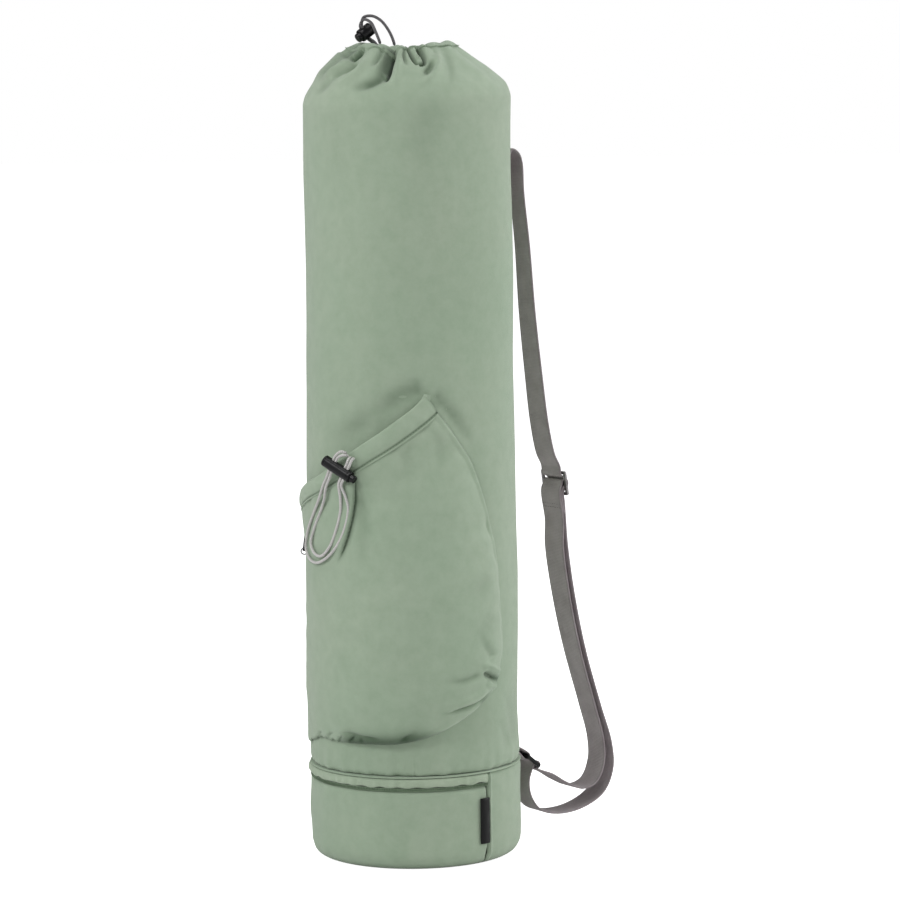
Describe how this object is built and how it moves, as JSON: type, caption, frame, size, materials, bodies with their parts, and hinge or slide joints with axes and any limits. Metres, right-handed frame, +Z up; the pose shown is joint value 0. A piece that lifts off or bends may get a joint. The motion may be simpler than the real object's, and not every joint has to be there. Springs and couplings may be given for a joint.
{
  "type": "yoga mat bag",
  "caption": "Upright cloth tube bag for a rolled mat, with a drawstring mouth, a zipped bottom compartment, a slanted bottle pocket and a webbing shoulder strap.",
  "frame": {"origin": "the middle of the flat round bottom, on the surface that the bag stands on", "axes": "+Z up along the tube towards the mouth; -Y is the side of the bottle pocket; +X is the side of the shoulder strap"},
  "size_m": [0.2722, 0.2249, 0.7177],
  "materials": {
    "sage_cloth": "plain woven, matte, slightly creased",
    "webbing": "flat woven webbing, matte",
    "black_plastic": "moulded, slightly satin",
    "pale_cord": "braided round cord",
    "dark_cord": "braided round cord",
    "metal": "darkened, satin"
  },
  "bodies": {
    "bag": {"main_sleeve": "sage_cloth", "mouth_casing": "sage_cloth", "divider_panel": "sage_cloth", "base_front_panel": "sage_cloth", "base_back_panel": "sage_cloth", "base_panel": "sage_cloth", "zip_flap": "sage_cloth", "zip_tape": "sage_cloth", "side_label": "black_plastic", "bottle_pocket": "sage_cloth", "pocket_hem": "sage_cloth", "shoulder_strap": "webbing", "strap_slider": "metal", "strap_ring": "black_plastic", "ring_tab": "webbing", "zip_slider": "black_plastic", "key_tab": "black_plastic", "key_ring": "metal", "pocket_lock_barrel": "black_plastic", "pocket_cord_outer": "pale_cord", "pocket_cord_inner": "pale_cord", "mouth_lock_barrel": "black_plastic", "mouth_cord": "dark_cord"},
    "pocket_plunger": {"pocket_lock_plunger": "black_plastic"},
    "mouth_plunger": {"mouth_lock_plunger": "black_plastic"}
  },
  "joints": [
    {"name": "pocket_lock_press", "type": "slide", "parent": "bag", "child": "pocket_plunger", "axis": [-0.7556, 0.4722, 0.454], "range_m": [0, 0.003], "stiffness_N_per_m": 150, "springref_m": -0.003},
    {"name": "mouth_lock_press", "type": "slide", "parent": "bag", "child": "mouth_plunger", "axis": [0.7018, 0.4511, 0.5514], "range_m": [0, 0.0025], "stiffness_N_per_m": 150, "springref_m": -0.003}
  ]
}
